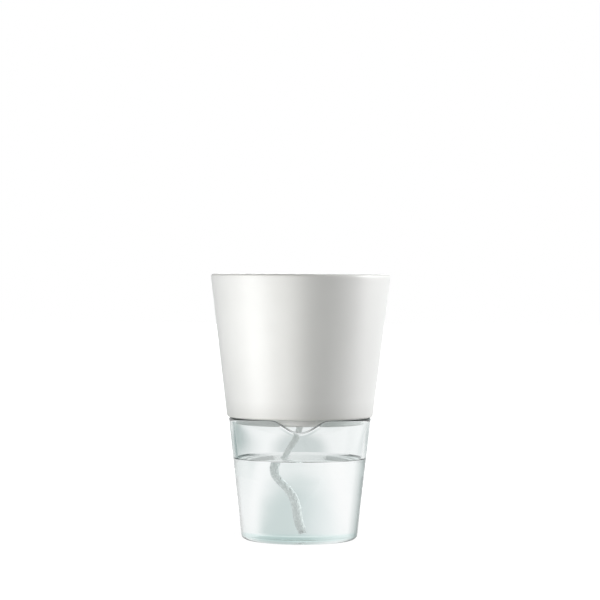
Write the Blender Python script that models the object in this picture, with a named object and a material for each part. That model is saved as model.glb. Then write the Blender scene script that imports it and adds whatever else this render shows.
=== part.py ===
"""Self-watering plant pot, at its real size in metres, with +Z up.

A glazed ceramic pot stands in a clear glass reservoir. Under its shoulder the pot steps in to a short
spigot that drops into the glass, and the shoulder rests on the glass rim. At the front the rim dips
below the spigot, so that water can be poured in with the pot in place. A fibre wick runs through the
floor of the pot and draws the water up. The pot and its wick lift straight out of the glass.

The origin is in the middle of the glass foot, on the surface that it stands on. The dip faces -Y.
"""

import math

import bmesh
import bpy
from mathutils import Vector, geometry

# Glass reservoir
GLASS_HEIGHT = 0.0746
GLASS_RIM_RADIUS = 0.0435
GLASS_FOOT_RADIUS = 0.0352
GLASS_WALL = 0.0026
GLASS_BASE = 0.0045
GLASS_RIM_ROUND = 0.0012
GLASS_FOOT_ROUND = 0.0032
GLASS_BOWL_ROUND = 0.0070
GLASS_RING_WIDTH = 0.0045
GLASS_PUNT = 0.0012
GLASS_PUNT_SLOPE = 0.0030

# Pouring dip in the glass rim
DIP_DEPTH = 0.0068
DIP_HALF_ANGLE = math.radians(24.5)
FRONT_ANGLE = math.radians(-90.0)

# Ceramic pot, measured from the underside of its shoulder
POT_HEIGHT = 0.0872
POT_RIM_RADIUS = 0.0550
POT_OVERHANG = 0.0010
POT_WALL = 0.0040
POT_FLOOR = 0.0050
POT_RIM_ROUND = 0.0015
POT_EDGE_ROUND = 0.0014
POT_BOWL_ROUND = 0.0080
SPIGOT_DEPTH = 0.0040
SPIGOT_ROUND = 0.0012
SPIGOT_ROOT_ROUND = 0.0005
POT_RING_WIDTH = 0.0040
POT_RECESS = 0.0010
POT_RECESS_SLOPE = 0.0010
HOLE_ROUND = 0.0008

# Fits between the pieces
SEAT_GAP = 0.0003
SPIGOT_CLEARANCE = 0.0008
WICK_CLEARANCE = 0.0003

# Largest share of a wall that the rounding of its rim may take
RIM_ROUND_SHARE = 0.48

# Fibre wick: its route above the pot's floor, from the free end to the hole, and below its underside
WICK_DIAMETER = 0.0040
WICK_ABOVE = (
    (-0.0110, 0.0245, 0.0023),
    (-0.0054, 0.0270, 0.0023),
    (0.0004, 0.0286, 0.0023),
    (0.0063, 0.0292, 0.0023),
    (0.0123, 0.0284, 0.0023),
    (0.0178, 0.0261, 0.0023),
    (0.0220, 0.0219, 0.0023),
    (0.0239, 0.0162, 0.0023),
    (0.0233, 0.0103, 0.0025),
    (0.0210, 0.0061, 0.0033),
    (0.0185, 0.0036, 0.0051),
    (0.0163, 0.0022, 0.0074),
    (0.0136, 0.0012, 0.0094),
    (0.0103, 0.0004, 0.0103),
    (0.0069, 0.0001, 0.0099),
    (0.0038, 0.0000, 0.0084),
    (0.0015, 0.0000, 0.0056),
    (0.0003, 0.0000, 0.0015),
)
WICK_BELOW = (
    (0.0000, 0.0000, 0.0000),
    (-0.0004, 0.0000, -0.0040),
    (-0.0021, 0.0003, -0.0089),
    (-0.0050, 0.0007, -0.0138),
    (-0.0080, 0.0011, -0.0187),
    (-0.0100, 0.0013, -0.0237),
    (-0.0099, 0.0012, -0.0287),
    (-0.0079, 0.0008, -0.0333),
    (-0.0051, 0.0002, -0.0376),
    (-0.0028, -0.0003, -0.0423),
    (-0.0015, -0.0007, -0.0474),
    (-0.0009, -0.0009, -0.0526),
    (-0.0002, -0.0008, -0.0579),
    (0.0010, -0.0005, -0.0631),
)

# Fineness of the facets
TURN_STEPS = 72
ARC_STEPS = 3
WIDE_ARC_STEPS = 6
WIDE_ARC_RADIUS = 0.0030
WICK_STEP = 0.0045
CURVE_STEPS = 24
WICK_BEVEL_RESOLUTION = 3
SAME_POINT = 1e-7
SHARP_ANGLE = math.radians(40.0)

# Sizes that follow from the ones above
GLASS_TAPER = (GLASS_RIM_RADIUS - GLASS_FOOT_RADIUS) / GLASS_HEIGHT
SHOULDER_Z = GLASS_HEIGHT + SEAT_GAP
POT_BASE_RADIUS = GLASS_RIM_RADIUS + POT_OVERHANG
POT_TAPER = (POT_RIM_RADIUS - POT_BASE_RADIUS) / POT_HEIGHT
POT_FLOOR_Z = POT_FLOOR - SPIGOT_DEPTH
HOLE_RADIUS = WICK_DIAMETER / 2 + WICK_CLEARANCE


def clear_scene():
    """Removes whatever the scene starts with."""
    for obj in list(bpy.data.objects):
        bpy.data.objects.remove(obj)


def finish(name, colour, roughness, transmission=0.0, ior=1.5):
    """A Principled material with these values and no metal."""
    material = bpy.data.materials.new(name)
    material.use_nodes = True
    shader = material.node_tree.nodes["Principled BSDF"]
    shader.inputs["Base Color"].default_value = (*colour, 1.0)
    shader.inputs["Roughness"].default_value = roughness
    shader.inputs["Metallic"].default_value = 0.0
    shader.inputs["Transmission Weight"].default_value = transmission
    shader.inputs["IOR"].default_value = ior
    return material


def glass_bore(height):
    """Radius of the inside of the glass wall at a height above the foot."""
    return GLASS_FOOT_RADIUS + GLASS_TAPER * height - GLASS_WALL


def pot_bore(height):
    """Radius of the inside of the pot wall at a height above its shoulder."""
    return POT_BASE_RADIUS + POT_TAPER * height - POT_WALL


def rounded_corner(before, corner, after, radius):
    """Points of the arc of this radius that touches both sides of a corner of an outline."""
    corner = Vector(corner)
    back = (Vector(before) - corner).normalized()
    ahead = (Vector(after) - corner).normalized()
    half = back.angle(ahead) / 2
    centre = corner + (back + ahead).normalized() * (radius / math.sin(half))
    start = corner + back * (radius / math.tan(half)) - centre
    end = corner + ahead * (radius / math.tan(half)) - centre
    steps = WIDE_ARC_STEPS if radius >= WIDE_ARC_RADIUS else ARC_STEPS
    return [centre + start.slerp(end, step / steps) * radius for step in range(steps + 1)]


def outline(corners, closed):
    """Points of an outline given as (radius, height, rounding) corners. A rounding of 0 keeps the corner."""
    points = []
    count = len(corners)
    for index, (radius, height, rounding) in enumerate(corners):
        inner = closed or 0 < index < count - 1
        if rounding > 0.0 and inner:
            before = corners[index - 1][:2]
            after = corners[(index + 1) % count][:2]
            points += rounded_corner(before, (radius, height), after, rounding)
        else:
            points.append(Vector((radius, height)))
    return points


def turned(points, closed):
    """A bmesh of an outline turned once round the Z axis."""
    bm = bmesh.new()
    verts = [bm.verts.new((point.x, 0.0, point.y)) for point in points]
    pairs = list(zip(verts, verts[1:]))
    if closed:
        pairs.append((verts[-1], verts[0]))
    edges = [bm.edges.new(pair) for pair in pairs]
    bmesh.ops.spin(
        bm,
        geom=verts + edges,
        cent=(0.0, 0.0, 0.0),
        axis=(0.0, 0.0, 1.0),
        angle=math.tau,
        steps=TURN_STEPS,
        use_merge=True,
    )
    bmesh.ops.remove_doubles(bm, verts=bm.verts, dist=SAME_POINT)
    bmesh.ops.recalc_face_normals(bm, faces=bm.faces)
    return bm


def placed(name, bm, material, parent):
    """The bmesh as a smooth-shaded object of this name, under its parent."""
    mesh = bpy.data.meshes.new(name)
    bm.to_mesh(mesh)
    bm.free()
    mesh.shade_smooth()
    mesh.set_sharp_from_angle(angle=SHARP_ANGLE)
    mesh.materials.append(material)
    obj = bpy.data.objects.new(name, mesh)
    bpy.context.scene.collection.objects.link(obj)
    obj.parent = parent
    return obj


def frame_empty(name, height):
    """An empty on the Z axis, which carries the pieces that move together."""
    empty = bpy.data.objects.new(name, None)
    empty.location = (0.0, 0.0, height)
    bpy.context.scene.collection.objects.link(empty)
    return empty


def dip_at(angle):
    """How far the glass rim dips at this angle round the axis: one smooth wave, centred on the front."""
    away = abs((angle - FRONT_ANGLE + math.pi) % math.tau - math.pi)
    if away >= DIP_HALF_ANGLE:
        return 0.0
    return DIP_DEPTH * (1.0 + math.cos(math.pi * away / DIP_HALF_ANGLE)) / 2


def lower_rim(bm, rim_round):
    """Slides the rounded rim down along the wall's slope, so that it follows the pouring dip."""
    for vert in bm.verts:
        if vert.co.z < GLASS_HEIGHT - 2 * rim_round:
            continue
        radius = math.hypot(vert.co.x, vert.co.y)
        drop = dip_at(math.atan2(vert.co.y, vert.co.x))
        scale = (radius - GLASS_TAPER * drop) / radius
        vert.co = (vert.co.x * scale, vert.co.y * scale, vert.co.z - drop)


def build_glass(parent):
    """The reservoir: a tapered tumbler with a thick base, a foot ring round a shallow punt, and the dip."""
    rim_round = min(GLASS_RIM_ROUND, RIM_ROUND_SHARE * GLASS_WALL)
    ring_outer = GLASS_FOOT_RADIUS - GLASS_FOOT_ROUND
    ring_inner = ring_outer - GLASS_RING_WIDTH
    corners = (
        (0.0, GLASS_PUNT, 0.0),
        (ring_inner - GLASS_PUNT_SLOPE, GLASS_PUNT, GLASS_PUNT_SLOPE / 2),
        (ring_inner, 0.0, GLASS_PUNT_SLOPE / 2),
        (GLASS_FOOT_RADIUS, 0.0, GLASS_FOOT_ROUND),
        (GLASS_RIM_RADIUS, GLASS_HEIGHT, rim_round),
        (GLASS_RIM_RADIUS - GLASS_WALL, GLASS_HEIGHT, rim_round),
        (glass_bore(GLASS_BASE), GLASS_BASE, GLASS_BOWL_ROUND),
        (0.0, GLASS_BASE, 0.0),
    )
    bm = turned(outline(corners, closed=False), closed=False)
    lower_rim(bm, rim_round)
    clear_glass = finish("clear_glass", (0.90, 0.96, 0.95), roughness=0.03, transmission=1.0)
    return placed("reservoir_glass", bm, clear_glass, parent)


def build_pot(parent):
    """The pot: a tapered bowl on a shoulder, with a spigot and foot ring below and the wick's hole."""
    rim_round = min(POT_RIM_ROUND, RIM_ROUND_SHARE * POT_WALL)
    spigot_radius = glass_bore(GLASS_HEIGHT - SPIGOT_DEPTH) - SPIGOT_CLEARANCE
    ring_inner = spigot_radius - SPIGOT_ROUND - POT_RING_WIDTH
    recess_z = POT_RECESS - SPIGOT_DEPTH
    corners = (
        (HOLE_RADIUS, recess_z, HOLE_ROUND),
        (ring_inner - POT_RECESS_SLOPE, recess_z, POT_RECESS_SLOPE / 2),
        (ring_inner, -SPIGOT_DEPTH, POT_RECESS_SLOPE / 2),
        (spigot_radius, -SPIGOT_DEPTH, SPIGOT_ROUND),
        (spigot_radius, 0.0, SPIGOT_ROOT_ROUND),
        (POT_BASE_RADIUS, 0.0, POT_EDGE_ROUND),
        (POT_RIM_RADIUS, POT_HEIGHT, rim_round),
        (POT_RIM_RADIUS - POT_WALL, POT_HEIGHT, rim_round),
        (pot_bore(POT_FLOOR_Z), POT_FLOOR_Z, POT_BOWL_ROUND),
        (HOLE_RADIUS, POT_FLOOR_Z, HOLE_ROUND),
    )
    bm = turned(outline(corners, closed=True), closed=True)
    white_glaze = finish("white_glaze", (0.84, 0.84, 0.82), roughness=0.38)
    return placed("planter_pot", bm, white_glaze, parent)


def wick_route():
    """The wick's own points, from its end in the pot to its end in the glass, in the pot's frame."""
    above = [Vector(point) + Vector((0.0, 0.0, POT_FLOOR_Z)) for point in WICK_ABOVE]
    below = [Vector(point) + Vector((0.0, 0.0, -SPIGOT_DEPTH)) for point in WICK_BELOW]
    return above + below


def smooth_line(points, step):
    """Evenly spaced points on a smooth curve through the points."""
    ends = [2 * points[0] - points[1], *points, 2 * points[-1] - points[-2]]
    fine = []
    for before, start, end, after in zip(ends, ends[1:], ends[2:], ends[3:]):
        lead = start + (end - before) / 6
        trail = end - (after - start) / 6
        fine += geometry.interpolate_bezier(start, lead, trail, end, CURVE_STEPS + 1)[:-1]
    fine.append(points[-1])
    length = sum((b - a).length for a, b in zip(fine, fine[1:]))
    count = round(length / step)
    line = [fine[0]]
    walked = 0.0
    for a, b in zip(fine, fine[1:]):
        walked += (b - a).length
        if len(line) < count and walked >= len(line) * length / count:
            line.append(b)
    return [*line, fine[-1]]


def build_wick(parent):
    """The wick: one length of fibre cord, loose on the pot's floor above and in the reservoir below."""
    points = smooth_line(wick_route(), WICK_STEP)
    curve = bpy.data.curves.new("wick", "CURVE")
    curve.dimensions = "3D"
    curve.bevel_depth = WICK_DIAMETER / 2
    curve.bevel_resolution = WICK_BEVEL_RESOLUTION
    curve.use_fill_caps = True
    spline = curve.splines.new("POLY")
    spline.points.add(len(points) - 1)
    for target, point in zip(spline.points, points):
        target.co = (*point, 1.0)
    curve.materials.append(finish("wick_fibre", (0.80, 0.79, 0.75), roughness=0.85))
    obj = bpy.data.objects.new("wick", curve)
    bpy.context.scene.collection.objects.link(obj)
    obj.parent = parent
    return obj


def main():
    clear_scene()
    build_glass(frame_empty("reservoir_frame", 0.0))
    lift = frame_empty("pot_lift_frame", SHOULDER_Z)
    build_pot(lift)
    build_wick(lift)


main()
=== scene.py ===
"""Looks of the self-watering pot: the glazed planter, the glass reservoir, its water and the wick.

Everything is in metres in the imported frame: +Z up from the floor, the pouring dip towards -Y.
"""

import logging
import math
from collections.abc import Sequence
from dataclasses import dataclass
from enum import Enum

import bmesh
import bpy
import numpy as np
from mathutils import Matrix, Vector, geometry


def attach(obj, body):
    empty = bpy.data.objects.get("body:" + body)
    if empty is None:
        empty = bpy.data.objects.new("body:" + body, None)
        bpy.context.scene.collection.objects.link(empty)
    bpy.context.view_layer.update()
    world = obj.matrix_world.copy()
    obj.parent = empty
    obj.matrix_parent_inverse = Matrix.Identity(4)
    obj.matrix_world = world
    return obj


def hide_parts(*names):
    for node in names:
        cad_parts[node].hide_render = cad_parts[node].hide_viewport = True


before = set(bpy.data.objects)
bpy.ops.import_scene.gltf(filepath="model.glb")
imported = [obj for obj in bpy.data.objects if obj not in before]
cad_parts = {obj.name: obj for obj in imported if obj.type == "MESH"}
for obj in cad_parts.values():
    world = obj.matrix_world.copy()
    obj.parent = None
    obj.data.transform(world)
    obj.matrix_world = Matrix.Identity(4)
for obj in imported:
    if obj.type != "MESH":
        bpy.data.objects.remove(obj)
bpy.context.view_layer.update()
SAME_POINT = 1e-7
WHITE = (1.0, 1.0, 1.0, 1.0)

Socket = bpy.types.NodeSocket
Span = tuple[float, float]
Point = tuple[float, float, float]
Rgb = tuple[float, float, float]
Colour = Rgb | Socket
Stops = tuple[tuple[float, Rgb], ...]
Face = tuple[int, ...]

log = logging.getLogger("self_watering_pot")


class Body(Enum):
    """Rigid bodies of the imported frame."""

    RESERVOIR = "reservoir"
    POT = "pot"


class Slot(Enum):
    """Material slots of the record."""

    GLASS = "clear_glass"
    GLAZE = "white_glaze"
    FIBRE = "wick_fibre"


class Node(Enum):
    """CAD nodes that finer pieces stand for."""

    GLASS = "reservoir_glass"
    POT = "planter_pot"
    WICK = "wick"


# Outlines and turned meshes


@dataclass(frozen=True)
class Corner:
    """One corner of a turned outline, with the radius that rounds it off."""

    radius: float
    height: float
    rounding: float = 0.0

    @property
    def point(self) -> Vector:
        """The corner as a (radius, height) point."""
        return Vector((self.radius, self.height))


@dataclass(frozen=True)
class Outline:
    """A turned outline of straight runs between rounded corners."""

    corners: Sequence[Corner]
    closed: bool
    run: float = 0.0020
    arc_run: float = 0.0004
    fewest_arc_runs: int = 6

    def points(self) -> list[Vector]:
        """Points along the whole outline, close enough together for a smooth turned surface.

        Returns:
            (radius, height) points in order.
        """
        count = len(self.corners)
        bends: list[list[Vector]] = []
        for index, corner in enumerate(self.corners):
            inner = self.closed or 0 < index < count - 1
            if corner.rounding > 0.0 and inner:
                before = self.corners[index - 1].point
                after = self.corners[(index + 1) % count].point
                bends.append(self._arc(before, corner, after))
            else:
                bends.append([corner.point])
        line: list[Vector] = []
        for index, bend in enumerate(bends):
            line += bend
            if self.closed or index < count - 1:
                line += self._between(bend[-1], bends[(index + 1) % count][0])
        return line

    def _arc(self, before: Vector, corner: Corner, after: Vector) -> list[Vector]:
        """Points of the arc that touches both sides of a corner.

        Args:
            before: the corner before it.
            corner: the corner to round off.
            after: the corner after it.

        Returns:
            Points from one side to the other.
        """
        back = (before - corner.point).normalized()
        ahead = (after - corner.point).normalized()
        half = back.angle(ahead) / 2
        centre = corner.point + (back + ahead).normalized() * (corner.rounding / math.sin(half))
        reach = corner.rounding / math.tan(half)
        start = corner.point + back * reach - centre
        end = corner.point + ahead * reach - centre
        length = corner.rounding * start.angle(end)
        runs = max(self.fewest_arc_runs, math.ceil(length / self.arc_run))
        return [centre + start.slerp(end, step / runs) * corner.rounding for step in range(runs + 1)]

    def _between(self, start: Vector, end: Vector) -> list[Vector]:
        """Points inside a straight run, without its ends."""
        runs = max(1, math.ceil((end - start).length / self.run))
        return [start.lerp(end, step / runs) for step in range(1, runs)]


def turned(outline: Outline, steps: int) -> bmesh.types.BMesh:
    """Turns an outline once round the Z axis.

    Args:
        outline: the outline, in the XZ plane.
        steps: facets round the axis.

    Returns:
        A closed mesh with its faces pointing outwards.
    """
    bm = bmesh.new()
    verts = [bm.verts.new((point.x, 0.0, point.y)) for point in outline.points()]
    pairs = list(zip(verts, verts[1:]))
    if outline.closed:
        pairs.append((verts[-1], verts[0]))
    edges = [bm.edges.new(pair) for pair in pairs]
    bmesh.ops.spin(
        bm,
        geom=verts + edges,
        cent=(0.0, 0.0, 0.0),
        axis=(0.0, 0.0, 1.0),
        angle=math.tau,
        steps=steps,
        use_merge=True,
    )
    bmesh.ops.remove_doubles(bm, verts=bm.verts, dist=SAME_POINT)
    bmesh.ops.recalc_face_normals(bm, faces=bm.faces)
    return bm


def smooth_object(name: str, mesh: bpy.types.Mesh, *materials: bpy.types.Material) -> bpy.types.Object:
    """Links a smooth-shaded object for a mesh.

    Args:
        name: name of the piece.
        mesh: its mesh.
        materials: its materials, in slot order.

    Returns:
        The new object.
    """
    mesh.shade_smooth()
    for material in materials:
        mesh.materials.append(material)
    piece = bpy.data.objects.new(name, mesh)
    bpy.context.scene.collection.objects.link(piece)
    return piece


def mesh_of(name: str, bm: bmesh.types.BMesh) -> bpy.types.Mesh:
    """Turns a bmesh into a mesh of that name and frees it."""
    mesh = bpy.data.meshes.new(name)
    bm.to_mesh(mesh)
    bm.free()
    return mesh


def seat(
    piece: bpy.types.Object, body: Body, node: Node | None = None
) -> None:
    """Puts a finished piece on its body and reports it.

    Args:
        piece: the piece, already in place.
        body: the body that it moves with.
        node: the CAD node that it stands for, if any.
    """
    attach(piece, body.value)
    if node is not None:
        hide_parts(node.value)
    log.info("%s rides on %s", piece.name, body.value)


# Finishes


class NodeKit:
    """Short calls to add and join the nodes of one tree."""

    def __init__(self, tree: bpy.types.NodeTree) -> None:
        """Takes up a tree."""
        self.nodes = tree.nodes
        self.links = tree.links

    def add(self, kind: str, **inputs: float | Sequence[float]) -> bpy.types.Node:
        """Adds a node.

        Args:
            kind: the node's type without the ShaderNode prefix.
            inputs: values for its sockets, with underscores for spaces.

        Returns:
            The new node.
        """
        node = self.nodes.new("ShaderNode" + kind)
        self.fill(node, **inputs)
        return node

    @staticmethod
    def fill(node: bpy.types.Node, **inputs: float | Sequence[float]) -> None:
        """Sets a node's sockets, named with underscores for spaces."""
        for name, value in inputs.items():
            node.inputs[name.replace("_", " ")].default_value = value

    def join(self, source: Socket, target: Socket) -> None:
        """Links one socket to another."""
        self.links.new(source, target)

    def place(self) -> Socket:
        """Adds the place on the piece."""
        return self.add("TexCoord").outputs["Object"]

    def light_path(self, ray: str) -> Socket:
        """Adds a test for one kind of ray."""
        return self.add("LightPath").outputs[ray]

    def arithmetic(self, operation: str, first: Socket, second: Socket | float) -> Socket:
        """Adds one step of arithmetic.

        Args:
            operation: the Math node's operation.
            first: the socket that gives its first value.
            second: its second value, or the socket that gives it.

        Returns:
            The result.
        """
        node = self.add("Math")
        node.operation = operation
        self.join(first, node.inputs[0])
        if isinstance(second, Socket):
            self.join(second, node.inputs[1])
        else:
            node.inputs[1].default_value = second
        return node.outputs["Value"]

    def remap(self, value: Socket, start: Span, end: Span = (0.0, 1.0), smooth: bool = False) -> Socket:
        """Maps a range of a value to another range, and holds it at the ends.

        Args:
            value: the value.
            start: the range to map.
            end: what its ends become.
            smooth: whether the change sets in and ends softly.

        Returns:
            The mapped value.
        """
        node = self.add("MapRange", From_Min=start[0], From_Max=start[1], To_Min=end[0], To_Max=end[1])
        if smooth:
            node.interpolation_type = "SMOOTHSTEP"
        self.join(value, node.inputs["Value"])
        return node.outputs["Result"]

    def tint(self, share: Socket, first: Colour, second: Colour) -> Socket:
        """Mixes two colours by a share.

        Args:
            share: 0 for the first colour and 1 for the second.
            first: the first colour, or the socket that gives it.
            second: the second colour, or the socket that gives it.

        Returns:
            The mixed colour.
        """
        mix = self.add("Mix")
        mix.data_type = "RGBA"
        self.join(share, mix.inputs["Factor"])
        places = [socket for socket in mix.inputs if socket.type == "RGBA"]
        for place, colour in zip(places, (first, second)):
            if isinstance(colour, Socket):
                self.join(colour, place)
            else:
                place.default_value = (*colour, 1.0)
        return next(socket for socket in mix.outputs if socket.type == "RGBA")

    def blend(self, share: Socket, first: Socket, second: Socket) -> Socket:
        """Mixes two shaders by a share: 0 for the first and 1 for the second."""
        mix = self.add("MixShader")
        for place, source in zip(mix.inputs, (share, first, second)):
            self.join(source, place)
        return mix.outputs["Shader"]


@dataclass(frozen=True)
class Noise:
    """A noise that is fixed to its piece: features in one metre, and octaves of finer ones."""

    scale: float
    detail: float
    middle: Span = (0.3, 0.7)


class ShaderTree(NodeKit):
    """The nodes of one new material, round its Principled shader."""

    def __init__(self, name: str, **inputs: float | Sequence[float]) -> None:
        """Starts a material, with values for the sockets of its shader."""
        self.material = bpy.data.materials.new(name)
        self.material.use_nodes = True
        super().__init__(self.material.node_tree)
        self.shader = self.nodes["Principled BSDF"]
        self.output = self.nodes["Material Output"]
        self.fill(self.shader, **inputs)

    def feed(self, **sources: Socket) -> None:
        """Joins sockets to those of the shader, named with underscores for spaces."""
        for name, source in sources.items():
            self.join(source, self.shader.inputs[name.replace("_", " ")])

    def noise(self, pattern: Noise) -> Socket:
        """Adds a noise, whose value is about 0.5 on average."""
        node = self.add("TexNoise", Scale=pattern.scale, Detail=pattern.detail)
        self.join(self.place(), node.inputs["Vector"])
        return node.outputs["Fac"]

    def spread(self, pattern: Noise, reach: Span = (0.0, 1.0)) -> Socket:
        """Adds a noise whose middle is mapped to a range."""
        return self.remap(self.noise(pattern), pattern.middle, reach)

    def bump(self, pattern: Noise, depth: float) -> None:
        """Gives the shader a bump of this depth in metres."""
        node = self.add("Bump", Strength=1.0, Distance=depth)
        self.join(self.noise(pattern), node.inputs["Height"])
        self.feed(Normal=node.outputs["Normal"])

    def attribute(self, name: str) -> Socket:
        """Adds the value of a mesh attribute."""
        node = self.add("Attribute")
        node.attribute_name = name
        return node.outputs["Fac"]

    def height(self) -> Socket:
        """Adds the height on the piece."""
        parts = self.add("SeparateXYZ")
        self.join(self.place(), parts.inputs["Vector"])
        return parts.outputs["Z"]

    def fade(self, low: float, high: float) -> Socket:
        """Adds a share that falls from 1 at a low height on the piece to 0 at a high one."""
        return self.remap(self.height(), (low, high), (1.0, 0.0))

    def let_lamps_through(self, share: Rgb = (1.0, 1.0, 1.0)) -> None:
        """Lets lamps shine through a clear shader onto what is inside.

        Args:
            share: how much of each colour of their light comes through.
        """
        clear = self.add("BsdfTransparent", Color=(*share, 1.0))
        lamp_ray = self.light_path("Is Shadow Ray")
        surface = self.blend(lamp_ray, self.shader.outputs["BSDF"], clear.outputs["BSDF"])
        self.join(surface, self.output.inputs["Surface"])


def clear_tree(name: str, ior: float) -> ShaderTree:
    """Starts a clear material that bends light by an index of refraction."""
    return ShaderTree(name, Base_Color=WHITE, Roughness=0.0, IOR=ior, Transmission_Weight=1.0)


@dataclass(frozen=True)
class SatinGlaze:
    """White satin glaze, with painted shade that greys it towards the shoulder, and warmer where it breaks
    thin over the edges.
    """

    colour: Rgb = (0.84, 0.843, 0.83)
    shade: Rgb = (0.815, 0.818, 0.804)
    thin: Rgb = (0.82, 0.815, 0.78)
    # Painted shade: the colour that the glaze is darkened to just above the shoulder.
    grey: Rgb = (0.74, 0.742, 0.725)
    shoulder_shade_reach: float = 0.011
    roughness: Span = (0.40, 0.46)
    ior: float = 1.7
    clouds: Noise = Noise(38.0, 2.0)
    patches: Noise = Noise(210.0, 3.0)
    ripples: Noise = Noise(420.0, 2.0)
    ripple_depth: float = 0.00002
    thin_attribute: str = "glaze_thins"

    def material(self, shoulder: float) -> bpy.types.Material:
        """Builds the glaze.

        Args:
            shoulder: height of the lower edge, where the painted shade is darkest.

        Returns:
            The glaze.
        """
        tree = ShaderTree("white_glaze", IOR=self.ior)
        body = tree.tint(tree.spread(self.clouds), self.colour, self.shade)
        # Painted shade, laid on from the shoulder up over the reach above it.
        body = tree.tint(tree.fade(shoulder, shoulder + self.shoulder_shade_reach), body, self.grey)
        edged = tree.tint(tree.attribute(self.thin_attribute), body, self.thin)
        tree.feed(Base_Color=edged, Roughness=tree.spread(self.patches, self.roughness))
        tree.bump(self.ripples, self.ripple_depth)
        return tree.material


@dataclass(frozen=True)
class BareClay:
    """Fired clay with no glaze, fine and chalky."""

    colour: Rgb = (0.74, 0.70, 0.64)
    speck: Rgb = (0.64, 0.60, 0.54)
    roughness: float = 0.82
    grain: Noise = Noise(1600.0, 4.0)
    pores: Noise = Noise(2400.0, 3.0)
    pore_depth: float = 0.00006

    def material(self) -> bpy.types.Material:
        """Builds the clay."""
        tree = ShaderTree("bare_clay", Roughness=self.roughness)
        tree.feed(Base_Color=tree.tint(tree.spread(self.grain), self.colour, self.speck))
        tree.bump(self.pores, self.pore_depth)
        return tree.material


@dataclass(frozen=True)
class ClearGlass:
    """Clear pressed glass with a faint blue-green body and a slightly uneven surface."""

    absorbs: Rgb = (0.45, 0.78, 0.75)
    density: float = 6.0
    lamp_share: Rgb = (0.77, 0.80, 0.80)
    waves: Noise = Noise(60.0, 1.0)
    wave_depth: float = 0.00005
    ior: float = 1.5
    wet_ior: float = 1.0
    inside_attribute: str = "inside"

    def material(self, wet_below: float) -> bpy.types.Material:
        """Builds the glass, whose inside vanishes where water wets it.

        Args:
            wet_below: height of the water's edge on the wall.

        Returns:
            The glass.
        """
        tree = clear_tree("clear_glass", self.ior)
        low = tree.arithmetic("LESS_THAN", tree.height(), wet_below)
        wet = tree.arithmetic("MULTIPLY", low, tree.attribute(self.inside_attribute))
        tree.feed(IOR=tree.remap(wet, (0.0, 1.0), (self.ior, self.wet_ior)))
        tree.bump(self.waves, self.wave_depth)
        tree.let_lamps_through(self.lamp_share)
        body = tree.add("VolumeAbsorption", Color=(*self.absorbs, 1.0), Density=self.density)
        tree.join(body.outputs["Volume"], tree.output.inputs["Volume"])
        return tree.material


@dataclass(frozen=True)
class StillWater:
    """Clear water, which bends no light where it lies against the glass: the glass does that there."""

    ior: float = 1.333
    ior_on_glass: float = 1.0

    def materials(self) -> list[bpy.types.Material]:
        """Builds the open surface and the side against the glass."""
        trees = [clear_tree("still_water", self.ior), clear_tree("water_on_glass", self.ior_on_glass)]
        for tree in trees:
            tree.let_lamps_through()
        return [tree.material for tree in trees]


@dataclass(frozen=True)
class DampFibre:
    """Undyed braided fibre, damp from end to end and darker where it hangs in the water; its paler colour
    above the water is partly painted light against the pot's shade.
    """

    # The colour above the water is paler partly as painted light, which lifts the shade that the pot casts
    # on the wick.
    colour: Rgb = (0.93, 0.94, 0.93)
    shade: Rgb = (0.85, 0.87, 0.86)
    soaked: Rgb = (0.87, 0.90, 0.89)
    fade: float = 0.004
    roughness: float = 0.55
    sheen: float = 0.25
    sheen_roughness: float = 0.4
    strands: Noise = Noise(900.0, 4.0)
    fuzz: Noise = Noise(5200.0, 2.0)
    fuzz_depth: float = 0.00008

    def material(self, soaked_below: float) -> bpy.types.Material:
        """Builds the fibre.

        Args:
            soaked_below: height of the water's surface.

        Returns:
            The fibre.
        """
        tree = ShaderTree(
            "wick_fibre",
            Roughness=self.roughness,
            Sheen_Weight=self.sheen,
            Sheen_Roughness=self.sheen_roughness,
        )
        damp = tree.tint(tree.spread(self.strands), self.colour, self.shade)
        wet = tree.fade(soaked_below, soaked_below + self.fade)
        tree.feed(Base_Color=tree.tint(wet, damp, self.soaked))
        tree.bump(self.fuzz, self.fuzz_depth)
        return tree.material


# Glass reservoir


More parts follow.
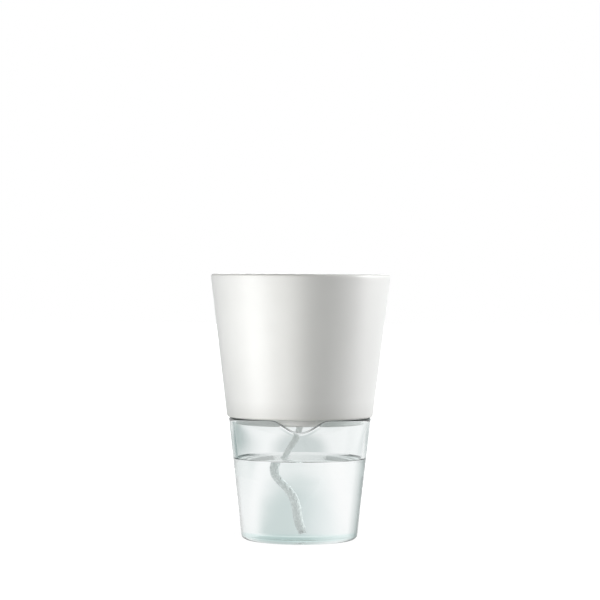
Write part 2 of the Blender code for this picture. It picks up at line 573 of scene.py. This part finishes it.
@dataclass(frozen=True)
class Reservoir:
    """The tapered glass tumbler, with a thick base, a foot ring round a punt and the pouring dip."""

    height: float = 0.0746
    rim_radius: float = 0.0435
    foot_radius: float = 0.0352
    wall: float = 0.0026
    base: float = 0.0045
    rim_round: float = 0.0012
    foot_round: float = 0.0032
    bowl_round: float = 0.0070
    ring_width: float = 0.0045
    punt: float = 0.0012
    punt_slope: float = 0.0030
    dip_depth: float = 0.0068
    dip_half_angle: float = math.radians(24.5)
    front: float = math.radians(-90.0)
    steps: int = 240

    @property
    def taper(self) -> float:
        """How much the radius grows with height."""
        return (self.rim_radius - self.foot_radius) / self.height

    def bore(self, height: float) -> float:
        """Radius of the inside of the wall at a height."""
        return self.foot_radius + self.taper * height - self.wall

    def dip(self, angle: float) -> float:
        """How far the rim dips at an angle round the axis: one smooth wave at the front."""
        away = abs((angle - self.front + math.pi) % math.tau - math.pi)
        if away >= self.dip_half_angle:
            return 0.0
        return self.dip_depth * (1.0 + math.cos(math.pi * away / self.dip_half_angle)) / 2

    def outline(self) -> Outline:
        """The section of the glass before the rim dips."""
        ring_inner = self.foot_radius - self.foot_round - self.ring_width
        return Outline(
            corners=(
                Corner(0.0, self.punt),
                Corner(ring_inner - self.punt_slope, self.punt, self.punt_slope / 2),
                Corner(ring_inner, 0.0, self.punt_slope / 2),
                Corner(self.foot_radius, 0.0, self.foot_round),
                Corner(self.rim_radius, self.height, self.rim_round),
                Corner(self.rim_radius - self.wall, self.height, self.rim_round),
                Corner(self.bore(self.base), self.base, self.bowl_round),
                Corner(0.0, self.base),
            ),
            closed=False,
        )

    def lower_rim(self, bm: bmesh.types.BMesh) -> None:
        """Slides the wall's rings down its slope, less and less towards the foot, to form the dip."""
        low = self.base + self.bowl_round
        high = self.height - 2 * self.rim_round
        for vert in bm.verts:
            share = min(max((vert.co.z - low) / (high - low), 0.0), 1.0)
            drop = share * self.dip(math.atan2(vert.co.y, vert.co.x))
            if drop > 0.0:
                radius = math.hypot(vert.co.x, vert.co.y)
                scale = (radius - self.taper * drop) / radius
                vert.co = (vert.co.x * scale, vert.co.y * scale, vert.co.z - drop)

    def mark_inside(self, bm: bmesh.types.BMesh, attribute: str) -> None:
        """Marks the inside of the bowl with a mesh attribute of 1.

        Args:
            bm: the glass before its rim dips.
            attribute: name of the attribute.
        """
        layer = bm.verts.layers.float.new(attribute)
        for vert in bm.verts:
            mid_wall = self.bore(vert.co.z) + self.wall / 2
            inside = vert.co.z > self.base / 2 and math.hypot(vert.co.x, vert.co.y) < mid_wall
            vert[layer] = float(inside)

    def build(self, wet_below: float) -> bpy.types.Object:
        """Builds and dresses the glass.

        Args:
            wet_below: height of the water's edge on the wall.

        Returns:
            The glass, seated on its body.
        """
        finish = ClearGlass()
        bm = turned(self.outline(), self.steps)
        self.mark_inside(bm, finish.inside_attribute)
        self.lower_rim(bm)
        mesh = mesh_of("glass_tumbler", bm)
        glass = smooth_object("glass_tumbler", mesh, finish.material(wet_below))
        seat(glass, Body.RESERVOIR, Node.GLASS)
        return glass


# Water


@dataclass(frozen=True)
class WaterFill:
    """The water in the glass, with the edge that it draws up at the wall and round the wick."""

    glass: Reservoir
    level: float = 0.0495
    climb: float = 0.0008
    climb_reach: float = 0.0012
    wick_share: float = 0.6
    into_wall: float = 0.0003
    steps: int = 240
    surface_run: float = 0.0005
    finish: StillWater = StillWater()

    @property
    def edge(self) -> float:
        """Height of the water's edge on the wall."""
        return self.level + self.climb

    def outline(self) -> Outline:
        """The section of the water, which reaches a hair into the glass to leave no air between them."""
        top = self.edge
        floor = self.glass.base - self.into_wall
        wall = self.glass.bore(top)
        bowl_round = self.glass.bowl_round + self.into_wall
        rings = [
            Corner(0.0, floor),
            Corner(self.glass.bore(floor) + self.into_wall, floor, bowl_round),
            Corner(wall + self.into_wall, top),
        ]
        runs = math.ceil(wall / self.surface_run)
        for step in range(runs):
            radius = wall * (1.0 - step / runs)
            height = self.level + self.climb * math.exp((radius - wall) / self.climb_reach)
            rings.append(Corner(radius, height))
        rings.append(Corner(0.0, self.level))
        return Outline(corners=rings, closed=False)

    def build(self, pierced_at: Vector, wick_radius: float) -> bpy.types.Object:
        """Builds and dresses the water.

        Args:
            pierced_at: where the wick comes through the surface.
            wick_radius: radius of the wick.

        Returns:
            The water, seated on the glass's body.
        """
        bm = turned(self.outline(), self.steps)
        for vert in bm.verts:
            if vert.co.z > self.level - SAME_POINT:
                gap = math.hypot(vert.co.x - pierced_at.x, vert.co.y - pierced_at.y) - wick_radius
                vert.co.z += self.wick_share * self.climb * math.exp(-max(gap, 0.0) / self.climb_reach)
        mesh = mesh_of("water_fill", bm)
        water = smooth_object("water_fill", mesh, *self.finish.materials())
        for face in mesh.polygons:
            open_face = face.center.z > self.level - SAME_POINT and face.normal.z > 0.0
            reach = math.hypot(face.center.x, face.center.y)
            face.material_index = 0 if open_face and reach < self.glass.bore(self.edge) else 1
        seat(water, Body.RESERVOIR)
        return water


# Ceramic pot


@dataclass(frozen=True)
class PlanterPot:
    """The tapered ceramic pot on its shoulder, with the spigot, foot ring and wick hole below."""

    glass: Reservoir
    height: float = 0.0872
    rim_radius: float = 0.0550
    overhang: float = 0.0010
    wall: float = 0.0040
    floor: float = 0.0050
    rim_round: float = 0.0015
    edge_round: float = 0.0014
    bowl_round: float = 0.0080
    spigot_depth: float = 0.0040
    spigot_round: float = 0.0012
    spigot_root_round: float = 0.0005
    spigot_clearance: float = 0.0008
    ring_width: float = 0.0040
    recess: float = 0.0010
    recess_slope: float = 0.0010
    hole_radius: float = 0.0023
    hole_round: float = 0.0008
    seat_gap: float = 0.0003
    thin_reach: float = 0.0011
    bare_share: float = 0.125
    steps: int = 240

    @property
    def shoulder(self) -> float:
        """Height of the shoulder's underside."""
        return self.glass.height + self.seat_gap

    @property
    def base_radius(self) -> float:
        """Radius of the shoulder."""
        return self.glass.rim_radius + self.overhang

    @property
    def underside(self) -> float:
        """Height of the foot ring under the spigot."""
        return self.shoulder - self.spigot_depth

    @property
    def floor_top(self) -> float:
        """Height of the floor inside."""
        return self.underside + self.floor

    def bore(self, height: float) -> float:
        """Radius of the inside of the wall at a height."""
        taper = (self.rim_radius - self.base_radius) / self.height
        return self.base_radius + taper * (height - self.shoulder) - self.wall

    def edges(self) -> tuple[Corner, ...]:
        """The edges that the glaze runs thin over."""
        top = self.shoulder + self.height
        return (
            Corner(self.base_radius, self.shoulder, self.edge_round),
            Corner(self.rim_radius, top, self.rim_round),
            Corner(self.rim_radius - self.wall, top, self.rim_round),
        )

    def outline(self) -> Outline:
        """The section of the pot."""
        spigot_radius = self.glass.bore(self.glass.height - self.spigot_depth) - self.spigot_clearance
        ring_inner = spigot_radius - self.spigot_round - self.ring_width
        recess_top = self.underside + self.recess
        return Outline(
            corners=(
                Corner(self.hole_radius, recess_top, self.hole_round),
                Corner(ring_inner - self.recess_slope, recess_top, self.recess_slope / 2),
                Corner(ring_inner, self.underside, self.recess_slope / 2),
                Corner(spigot_radius, self.underside, self.spigot_round),
                Corner(spigot_radius, self.shoulder, self.spigot_root_round),
                *self.edges(),
                Corner(self.bore(self.floor_top), self.floor_top, self.bowl_round),
                Corner(self.hole_radius, self.floor_top, self.hole_round),
            ),
            closed=True,
        )

    def thin_glaze(self, mesh: bpy.types.Mesh, attribute: str) -> None:
        """Writes how thin the glaze is at each vertex: 1 on an edge, falling to 0 on the wall.

        Args:
            mesh: the pot's mesh.
            attribute: name of the mesh attribute.
        """
        place = np.empty(len(mesh.vertices) * 3)
        mesh.vertices.foreach_get("co", place)
        place = place.reshape(-1, 3)
        radius = np.hypot(place[:, 0], place[:, 1])
        thin = np.zeros(len(place))
        for edge in self.edges():
            away = np.hypot(radius - edge.radius, place[:, 2] - edge.height)
            thin = np.maximum(thin, np.exp(-((away / self.thin_reach) ** 2)))
        layer = mesh.attributes.new(attribute, "FLOAT", "POINT")
        layer.data.foreach_set("value", thin.astype(np.float32))

    def bare_foot(self, mesh: bpy.types.Mesh, clay_index: int) -> None:
        """Gives the foot ring's flat face the unglazed clay."""
        for face in mesh.polygons:
            if face.center.z < self.underside + SAME_POINT + self.recess * self.bare_share:
                face.material_index = clay_index

    def build(self) -> bpy.types.Object:
        """Builds and dresses the pot.

        Returns:
            The pot, seated on its body.
        """
        glaze = SatinGlaze()
        mesh = mesh_of("ceramic_planter", turned(self.outline(), self.steps))
        self.thin_glaze(mesh, glaze.thin_attribute)
        materials = (glaze.material(self.shoulder), BareClay().material())
        pot = smooth_object("ceramic_planter", mesh, *materials)
        self.bare_foot(mesh, clay_index=1)
        seat(pot, Body.POT, Node.POT)
        return pot


# Wick


@dataclass(frozen=True)
class Wick:
    """The braided cord through the pot's floor, loose above it and hanging in the water below."""

    pot: PlanterPot
    diameter: float = 0.0040
    carriers: int = 4
    yarns: int = 3
    pitch: float = 0.0150
    yarn_radius: float = 0.00034
    yarn_spacing: float = 1.9
    weave_height: float = 0.00018
    yarn_sides: int = 6
    core_radius: float = 0.0014
    core_sides: int = 12
    sample: float = 0.0004
    curve_points: int = 33
    fray_length: float = 0.0022
    fray_spread: float = 0.0017
    fray_root: float = 0.0012
    fray_start: Span = (0.2, 0.75)
    fray_share: Span = (0.55, 1.0)
    fray_bend: Span = (0.0, 0.55)
    fray_count: int = 46
    fray_points: int = 6
    fray_radius: float = 0.00010
    fray_sides: int = 4

    # Its route above the pot's floor, from the free end to the hole, and below the pot's underside
    above: tuple[Point, ...] = (
        (-0.0110, 0.0245, 0.0023), (-0.0054, 0.0270, 0.0023), (0.0004, 0.0286, 0.0023),
        (0.0063, 0.0292, 0.0023), (0.0123, 0.0284, 0.0023), (0.0178, 0.0261, 0.0023),
        (0.0220, 0.0219, 0.0023), (0.0239, 0.0162, 0.0023), (0.0233, 0.0103, 0.0025),
        (0.0210, 0.0061, 0.0033), (0.0185, 0.0036, 0.0051), (0.0163, 0.0022, 0.0074),
        (0.0136, 0.0012, 0.0094), (0.0103, 0.0004, 0.0103), (0.0069, 0.0001, 0.0099),
        (0.0038, 0.0000, 0.0084), (0.0015, 0.0000, 0.0056), (0.0003, 0.0000, 0.0015),
    )
    below: tuple[Point, ...] = (
        (0.0000, 0.0000, 0.0000), (-0.0004, 0.0000, -0.0040), (-0.0021, 0.0003, -0.0089),
        (-0.0050, 0.0007, -0.0138), (-0.0080, 0.0011, -0.0187), (-0.0100, 0.0013, -0.0237),
        (-0.0099, 0.0012, -0.0287), (-0.0079, 0.0008, -0.0333), (-0.0051, 0.0002, -0.0376),
        (-0.0028, -0.0003, -0.0423), (-0.0015, -0.0007, -0.0474), (-0.0009, -0.0009, -0.0526),
        (-0.0002, -0.0008, -0.0579), (0.0010, -0.0005, -0.0631),
    )

    def route(self) -> list[Vector]:
        """The route's own points, from the end in the pot to the end in the water."""
        above = [Vector(point) + Vector((0.0, 0.0, self.pot.floor_top)) for point in self.above]
        below = [Vector(point) + Vector((0.0, 0.0, self.pot.underside)) for point in self.below]
        return above + below

    def line(self) -> np.ndarray:
        """The centreline: even steps on a smooth curve through the route.

        Returns:
            One point to a row.
        """
        points = self.route()
        ends = [2 * points[0] - points[1], *points, 2 * points[-1] - points[-2]]
        fine: list[Vector] = []
        for before, start, end, after in zip(ends, ends[1:], ends[2:], ends[3:]):
            lead = start + (end - before) / 6
            trail = end - (after - start) / 6
            fine += geometry.interpolate_bezier(start, lead, trail, end, self.curve_points)[:-1]
        track = np.array([*fine, points[-1]])
        along = np.concatenate([[0.0], np.cumsum(np.linalg.norm(np.diff(track, axis=0), axis=1))])
        even = np.linspace(0.0, along[-1], round(along[-1] / self.sample) + 1)
        return np.stack([np.interp(even, along, track[:, axis]) for axis in range(3)], axis=1)

    @staticmethod
    def sides_of(line: np.ndarray) -> tuple[np.ndarray, np.ndarray, np.ndarray]:
        """Two directions across a line at each point, carried along it without twist.

        Args:
            line: the centreline, one point to a row.

        Returns:
            The line's own direction and the two directions across it.
        """
        ahead = np.gradient(line, axis=0)
        ahead /= np.linalg.norm(ahead, axis=1)[:, None]
        across = np.empty_like(ahead)
        last = np.array((0.0, 1.0, 0.0))
        for index, way in enumerate(ahead):
            last = last - way * (last @ way)
            last /= np.linalg.norm(last)
            across[index] = last
        return ahead, across, np.cross(ahead, across)

    def tube(self, line: np.ndarray, radius: float, sides: int) -> tuple[np.ndarray, list[Face]]:
        """A closed tube along a line.

        Args:
            line: its centreline.
            radius: its radius.
            sides: facets round it.

        Returns:
            Its vertices and faces.
        """
        _, first, second = self.sides_of(line)
        turn = (np.arange(sides) * math.tau / sides)[None, :, None]
        ring = np.cos(turn) * first[:, None] + np.sin(turn) * second[:, None]
        verts = (line[:, None] + radius * ring).reshape(-1, 3)
        faces: list[Face] = []
        for row in range(len(line) - 1):
            for side in range(sides):
                near = row * sides + side
                far = row * sides + (side + 1) % sides
                faces.append((near, far, far + sides, near + sides))
        faces.append(tuple(range(sides))[::-1])
        faces.append(tuple(range(len(verts) - sides, len(verts))))
        return verts, faces

    def yarn_line(self, line: np.ndarray, carrier: int, yarn: int, way: int) -> np.ndarray:
        """The path of one yarn, which winds round the core, over and under the other way's yarns.

        Args:
            line: the cord's centreline.
            carrier: which carrier of its winding way it runs on.
            yarn: which yarn of that carrier it is.
            way: 1 or -1, the way that it winds.

        Returns:
            The yarn's centreline.
        """
        _, first, second = self.sides_of(line)
        along = np.arange(len(line)) * self.sample
        middle = self.diameter / 2 - self.yarn_radius - self.weave_height
        beside = (yarn - (self.yarns - 1) / 2) * self.yarn_spacing * self.yarn_radius / middle
        angle = math.tau * carrier / self.carriers + way * math.tau * along / self.pitch + beside
        radius = middle + way * self.weave_height * np.cos(math.tau * self.carriers * along / self.pitch)
        out = np.cos(angle)[:, None] * first + np.sin(angle)[:, None] * second
        return line + radius[:, None] * out

    def fray(self, end: np.ndarray, way: np.ndarray, seed: int) -> list[np.ndarray]:
        """Loose filaments at a cut end.

        Args:
            end: the cord's last point.
            way: the direction that the cord ends in.
            seed: seed of the filaments' spread.

        Returns:
            The filaments' centrelines.
        """
        draw = np.random.default_rng(seed)
        across = np.cross(way, (0.0, 0.0, 1.0))
        across /= np.linalg.norm(across)
        up = np.cross(across, way)
        steps = np.linspace(0.0, 1.0, self.fray_points)[:, None]
        filaments: list[np.ndarray] = []
        for _ in range(self.fray_count):
            turn = draw.uniform(0.0, math.tau)
            out = np.cos(turn) * across + np.sin(turn) * up
            start = end - way * self.fray_root + out * draw.uniform(*self.fray_start) * self.diameter / 2
            length = self.fray_length * draw.uniform(*self.fray_share)
            bend = out * self.fray_spread * draw.uniform(*self.fray_bend)
            filaments.append(start + way * (length + self.fray_root) * steps + bend * steps**2)
        return filaments

    def build(self, water_level: float) -> bpy.types.Object:
        """Args:
            water_level: height of the water that it hangs in.

        Returns:
            The cord, seated on the pot's body.
        """
        line = self.line()
        ahead, _, _ = self.sides_of(line)
        tubes = [self.tube(line, self.core_radius, self.core_sides)]
        for way in (1, -1):
            for carrier in range(self.carriers):
                for yarn in range(self.yarns):
                    path = self.yarn_line(line, carrier, yarn, way)
                    tubes.append(self.tube(path, self.yarn_radius, self.yarn_sides))
        for end, way, seed in ((line[0], -ahead[0], 1), (line[-1], ahead[-1], 2)):
            for filament in self.fray(end, way, seed):
                tubes.append(self.tube(filament, self.fray_radius, self.fray_sides))
        verts: list[np.ndarray] = []
        faces: list[Face] = []
        start = 0
        for tube_verts, tube_faces in tubes:
            verts.append(tube_verts)
            faces += [tuple(corner + start for corner in face) for face in tube_faces]
            start += len(tube_verts)
        mesh = bpy.data.meshes.new("braided_wick")
        mesh.from_pydata(np.concatenate(verts).tolist(), [], faces)
        wick = smooth_object("braided_wick", mesh, DampFibre().material(water_level))
        seat(wick, Body.POT, Node.WICK)
        return wick

    def crossing(self, level: float) -> Vector:
        """Where the hanging stretch meets a level surface."""
        line = self.line()
        from_hole = np.hypot(line[:, 0], line[:, 1]) + np.abs(line[:, 2] - self.pot.underside)
        hanging = line[np.argmin(from_hole) :]
        return Vector(hanging[np.argmin(np.abs(hanging[:, 2] - level))])


# Studio


PALE: Rgb = (0.97, 0.98, 0.98)
BRIGHT: Rgb = (1.03, 1.03, 1.03)
DARK: Rgb = (0.22, 0.31, 0.30)


@dataclass(frozen=True)
class Lamp:
    """One soft rectangular lamp, aimed at the middle of the object and unseen by the camera.

    Its azimuth runs from the camera towards the right, in degrees like its elevation.
    """

    name: str
    azimuth: float
    elevation: float
    distance: float
    size: Span
    power: float
    colour: Rgb = (1.0, 1.0, 1.0)

    def place(self, target: Vector) -> bpy.types.Object:
        """Sets the lamp up.

        Args:
            target: the point that it faces.

        Returns:
            The lamp.
        """
        data = bpy.data.lights.new(self.name, "AREA")
        data.shape = "RECTANGLE"
        data.size, data.size_y = self.size
        data.energy = self.power
        data.color = self.colour
        lamp = bpy.data.objects.new(self.name, data)
        bpy.context.scene.collection.objects.link(lamp)
        turn = math.radians(self.azimuth)
        rise = math.radians(self.elevation)
        level = math.cos(rise)
        away = Vector((level * math.sin(turn), -level * math.cos(turn), math.sin(rise)))
        lamp.location = target + away * self.distance
        lamp.rotation_euler = away.to_track_quat("Z", "Y").to_euler()
        lamp.visible_camera = False
        return lamp


@dataclass(frozen=True)
class PaintedFloorShade:
    """A soft oval of painted shade on the floor, shown only by glass and glaze."""

    centre: Span
    reach: Span
    strength: float
    soft: float = 0.6
    colour: Rgb = DARK

    def lay(self, tree: NodeKit, ground: Colour) -> Socket:
        """Adds the nodes that lay the painted shade over a ground.

        Args:
            tree: the floor's tree.
            ground: the colour of the floor without this painted shade.

        Returns:
            The colour with it.
        """
        oval = tree.add("Mapping", Location=(*self.centre, 0.0), Scale=(*self.reach, 1.0))
        oval.vector_type = "TEXTURE"
        tree.join(tree.place(), oval.inputs["Vector"])
        ball = tree.add("TexGradient")
        ball.gradient_type = "SPHERICAL"
        tree.join(oval.outputs["Vector"], ball.inputs["Vector"])
        share = tree.remap(ball.outputs["Fac"], (0.0, self.soft), (0.0, self.strength), smooth=True)
        return tree.tint(share, ground, self.colour)


@dataclass(frozen=True)
class RoomBand:
    """One band of the room behind the object: where it sets in above the horizon, and its colours."""

    sets_in: Span
    back: Stops


@dataclass(frozen=True)
class Surround:
    """The pale room that glass and glaze show: dimmer in front, grey behind and dark at the back left."""

    # Azimuths in degrees from the camera towards the right, and the colours there
    front: Stops = (
        (-90.0, (0.88, 0.89, 0.89)), (-40.0, (0.62, 0.64, 0.64)), (40.0, (0.62, 0.64, 0.64)),
        (90.0, PALE),
    )
    flag: Stops = (
        (250.0, DARK), (258.0, DARK), (268.0, (0.80, 0.83, 0.83)),
    )
    horizon: Stops = (
        (137.0, PALE), (148.0, (0.75, 0.81, 0.80)), (155.0, (0.60, 0.68, 0.67)),
        (178.0, (0.60, 0.68, 0.67)), (189.0, (0.74, 0.80, 0.80)), (204.0, (0.91, 0.94, 0.94)),
        (216.0, (0.96, 0.97, 0.97)), (228.0, (0.80, 0.84, 0.84)), (238.0, (0.50, 0.58, 0.57)),
    )
    above: tuple[RoomBand, ...] = (
        RoomBand(
            (0.012, 0.042),
            (
                (176.0, PALE), (192.0, BRIGHT), (218.0, BRIGHT), (228.0, PALE),
            ),
        ),
        RoomBand(
            (0.045, 0.065),
            (
                (140.0, PALE), (150.0, (0.70, 0.76, 0.75)), (158.0, (0.64, 0.71, 0.70)),
                (172.0, (0.64, 0.71, 0.70)), (180.0, (0.78, 0.82, 0.81)),
                (190.0, (0.78, 0.82, 0.81)), (206.0, (0.93, 0.95, 0.95)), (218.0, PALE),
                (228.0, PALE),
            ),
        ),
        RoomBand(
            (0.14, 0.20),
            (
                (130.0, PALE), (150.0, (0.54, 0.61, 0.60)), (184.0, (0.54, 0.61, 0.60)),
                (200.0, (0.84, 0.87, 0.87)), (220.0, PALE),
            ),
        ),
    )
    floor_ends: Span = (0.90, 1.20)
    ground: Rgb = (0.94, 0.955, 0.955)
    # Ovals of painted shade on the floor, which glass and glaze show as darker reflections and refractions
    painted_shades: tuple[PaintedFloorShade, ...] = (
        PaintedFloorShade(centre=(-0.18, 0.70), reach=(0.13, 0.30), strength=0.60, soft=0.8),
        PaintedFloorShade(centre=(-0.35, 0.15), reach=(0.26, 0.52), strength=1.0, soft=0.75),
        PaintedFloorShade(centre=(0.0, 0.74), reach=(0.055, 0.28), strength=0.42),
        PaintedFloorShade(centre=(0.25, 0.53), reach=(0.16, 0.24), strength=0.42, soft=0.8),
        PaintedFloorShade(centre=(0.0, -0.62), reach=(0.65, 0.50), strength=0.9),
        PaintedFloorShade(centre=(0.16, -0.28), reach=(0.34, 0.32), strength=0.7),
    )
    fill: float = 0.025
    near_shade: float = 0.85
    near_reach: Span = (0.03, 0.14)

    @staticmethod
    def ramp_place(azimuth: float) -> float:
        """Where an azimuth lies on a radial gradient, which starts on the left."""
        return (azimuth + 90.0) / 360.0

    def by_azimuth(self, tree: NodeKit, place: Socket, back: Stops) -> Socket:
        """Adds the nodes that give a colour by azimuth.

        Args:
            tree: the tree to add them to.
            place: the place or direction that is looked at.
            back: the colours behind the object.

        Returns:
            The colour.
        """
        turn = tree.add("TexGradient")
        turn.gradient_type = "RADIAL"
        tree.join(place, turn.inputs["Vector"])
        ramp = tree.add("ValToRGB")
        ramp.color_ramp.interpolation = "B_SPLINE"
        marks = ramp.color_ramp.elements
        while len(marks) > 1:
            marks.remove(marks[-1])
        for index, (azimuth, colour) in enumerate(self.front + back + self.flag):
            mark = marks[0] if index == 0 else marks.new(self.ramp_place(azimuth))
            mark.position = self.ramp_place(azimuth)
            mark.color = (*colour, 1.0)
        tree.join(turn.outputs["Fac"], ramp.inputs["Fac"])
        return ramp.outputs["Color"]

    def walls(self, tree: NodeKit) -> Socket:
        """Adds the nodes that give the room's colour by azimuth and height.

        Args:
            tree: the world's tree.

        Returns:
            The colour.
        """
        way = tree.add("TexCoord").outputs["Generated"]
        parts = tree.add("SeparateXYZ")
        tree.join(way, parts.inputs["Vector"])
        colour = self.by_azimuth(tree, way, self.horizon)
        for band in self.above:
            rise = tree.remap(parts.outputs["Z"], band.sets_in, smooth=True)
            colour = tree.tint(rise, colour, self.by_azimuth(tree, way, band.back))
        return colour

    @staticmethod
    def mirrored_or_clear(tree: NodeKit) -> Socket:
        """Adds the nodes that give 1 for a mirrored or refracted ray and 0 for the others."""
        mirrored = tree.light_path("Is Glossy Ray")
        return tree.arithmetic("MAXIMUM", mirrored, tree.light_path("Is Transmission Ray"))

    def world(self) -> bpy.types.World:
        """Builds the world: white to the camera, a dim fill to matt surfaces and the room to the rest.

        Returns:
            The world.
        """
        world = bpy.data.worlds.new("studio")
        world.use_nodes = True
        tree = NodeKit(world.node_tree)
        plain = tree.nodes["Background"]
        tree.fill(plain, Color=WHITE)
        level = tree.remap(tree.light_path("Is Camera Ray"), (0.0, 1.0), (self.fill, 1.0))
        tree.join(level, plain.inputs["Strength"])
        room = tree.add("Background")
        tree.join(self.walls(tree), room.inputs["Color"])
        seen_in_pieces = self.mirrored_or_clear(tree)
        shown = tree.blend(seen_in_pieces, plain.outputs["Background"], room.outputs["Background"])
        tree.join(shown, tree.nodes["World Output"].inputs["Surface"])
        return world


@dataclass(frozen=True)
class StudioFloor:
    """The white floor, with a faint shadow to the camera, and to glass and glaze the room's colours with
    ovals of painted shade.
    """

    surround: Surround
    size: float = 12.0
    cells: int = 8
    albedo: float = 0.12
    roughness: float = 0.9
    shadow: float = 0.30
    shadow_reach: Span = (0.07, 0.26)
    glow: float = 1.40

    def to_camera(self, tree: ShaderTree, distance: Socket) -> Socket:
        """Adds the floor that the camera sees: white, with the object's shadow close to it.

        Args:
            tree: the floor's tree.
            distance: the distance from the object.

        Returns:
            The shader, which is plain matt to other rays.
        """
        lit = tree.add("Emission", Color=WHITE, Strength=self.glow)
        unshaded = tree.remap(distance, self.shadow_reach, (1.0 - self.shadow, 1.0), smooth=True)
        shown = tree.arithmetic("MULTIPLY", tree.light_path("Is Camera Ray"), unshaded)
        return tree.blend(shown, tree.shader.outputs["BSDF"], lit.outputs["Emission"])

    def to_pieces(self, tree: ShaderTree, place: Socket, distance: Socket) -> Socket:
        """Adds the floor that glass and glaze show, with its painted shade, which turns into the room's
        walls far out.

        Args:
            tree: the floor's tree.
            place: the place on the floor.
            distance: the distance from the object.

        Returns:
            The shader.
        """
        room = self.surround
        ground: Colour = room.ground
        # Lays the ovals of painted shade.
        for shade_patch in room.painted_shades:
            ground = shade_patch.lay(tree, ground)
        far = tree.remap(distance, room.floor_ends, smooth=True)
        shown = tree.add("Emission")
        walls = room.by_azimuth(tree, place, room.horizon)
        tree.join(tree.tint(far, ground, walls), shown.inputs["Color"])
        near = tree.remap(distance, room.near_reach, (room.near_shade, 1.0), smooth=True)
        tree.join(near, shown.inputs["Strength"])
        return shown.outputs["Emission"]

    def material(self) -> bpy.types.Material:
        """Builds the floor's finish.

        Returns:
            The finish.
        """
        pale = (self.albedo, self.albedo, self.albedo, 1.0)
        tree = ShaderTree("studio_floor", Base_Color=pale, Roughness=self.roughness, Specular_IOR_Level=0.0)
        place = tree.place()
        away = tree.add("VectorMath")
        away.operation = "LENGTH"
        tree.join(place, away.inputs[0])
        plain = self.to_camera(tree, away.outputs["Value"])
        room = self.to_pieces(tree, place, away.outputs["Value"])
        surface = tree.blend(self.surround.mirrored_or_clear(tree), plain, room)
        tree.join(surface, tree.output.inputs["Surface"])
        return tree.material

    def build(self) -> bpy.types.Object:
        """Lays the floor.

        Returns:
            The floor.
        """
        bm = bmesh.new()
        bmesh.ops.create_grid(bm, x_segments=self.cells, y_segments=self.cells, size=self.size / 2)
        floor = smooth_object("studio_floor", mesh_of("studio_floor", bm), self.material())
        return floor


@dataclass(frozen=True)
class Studio:
    """Camera, lamps, surroundings and floor."""

    eye: Point = (0.0, -1.4074, 0.1621)
    focal_pixels: float = 2300.0
    image_pixels: int = 600
    horizon_pixels: float = 26.0
    sideways_pixels: float = 0.5
    roll: float = math.radians(0.3)
    sensor: float = 36.0
    target: Point = (0.0, 0.0, 0.10)
    surround: Surround = Surround()

    # Two on the left, one on the right, a small one under the pot and a fill behind
    lamps: tuple[Lamp, ...] = (
        Lamp("key", -56.0, 3.0, 0.23, (0.12, 0.22), 0.305),
        Lamp("front", -16.0, 3.0, 0.23, (0.12, 0.22), 0.18, (1.0, 0.99, 0.96)),
        Lamp("side", 97.0, 18.0, 1.2, (0.46, 0.72), 16.5),
        Lamp("under", 0.0, -90.0, 0.098, (0.08, 0.08), 0.05),
        Lamp("back", 182.0, 22.0, 1.2, (0.34, 0.40), 5.0),
    )

    def camera(self) -> bpy.types.Object:
        """Places the camera level with the pot's rim, tilted down a little.

        Returns:
            The camera.
        """
        data = bpy.data.cameras.new("camera")
        data.sensor_width = self.sensor
        data.lens = self.sensor * self.focal_pixels / self.image_pixels
        camera = bpy.data.objects.new("camera", data)
        bpy.context.scene.collection.objects.link(camera)
        pitch = math.atan2(self.horizon_pixels, self.focal_pixels)
        yaw = math.atan2(self.sideways_pixels, self.focal_pixels)
        turn = Matrix.Rotation(yaw, 4, "Z") @ Matrix.Rotation(math.pi / 2 - pitch, 4, "X")
        camera.matrix_world = Matrix.Translation(self.eye) @ turn @ Matrix.Rotation(self.roll, 4, "Z")
        bpy.context.scene.camera = camera
        return camera

    def light(self, pieces: Sequence[bpy.types.Object]) -> None:
        """Sets up the lamps and links them away from clear pieces, which show the room instead.

        Args:
            pieces: the pieces that show no lamp.
        """
        clear = bpy.data.collections.new("clear_pieces")
        for piece in pieces:
            clear.objects.link(piece)
        for link in clear.collection_objects:
            link.light_linking.link_state = "EXCLUDE"
        for lamp in self.lamps:
            lamp.place(Vector(self.target)).light_linking.receiver_collection = clear

    def build(self, clear_pieces: Sequence[bpy.types.Object]) -> None:
        """Sets up the whole studio.

        Args:
            clear_pieces: the pieces that show no lamp.
        """
        scene = bpy.context.scene
        scene.view_settings.view_transform = "Standard"
        scene.world = self.surround.world()
        self.camera()
        self.light(clear_pieces)
        StudioFloor(self.surround).build()
        log.info("studio set up")


def main() -> None:
    """Builds the studio and every piece."""
    logging.basicConfig(level=logging.INFO, format="%(message)s")
    glass = Reservoir()
    pot = PlanterPot(glass)
    wick = Wick(pot)
    water = WaterFill(glass)
    wick.build(water.level)
    pot.build()
    tumbler = glass.build(water.edge)
    filling = water.build(wick.crossing(water.level), wick.diameter / 2)
    Studio().build((tumbler, filling))


if __name__ == "__main__":
    main()
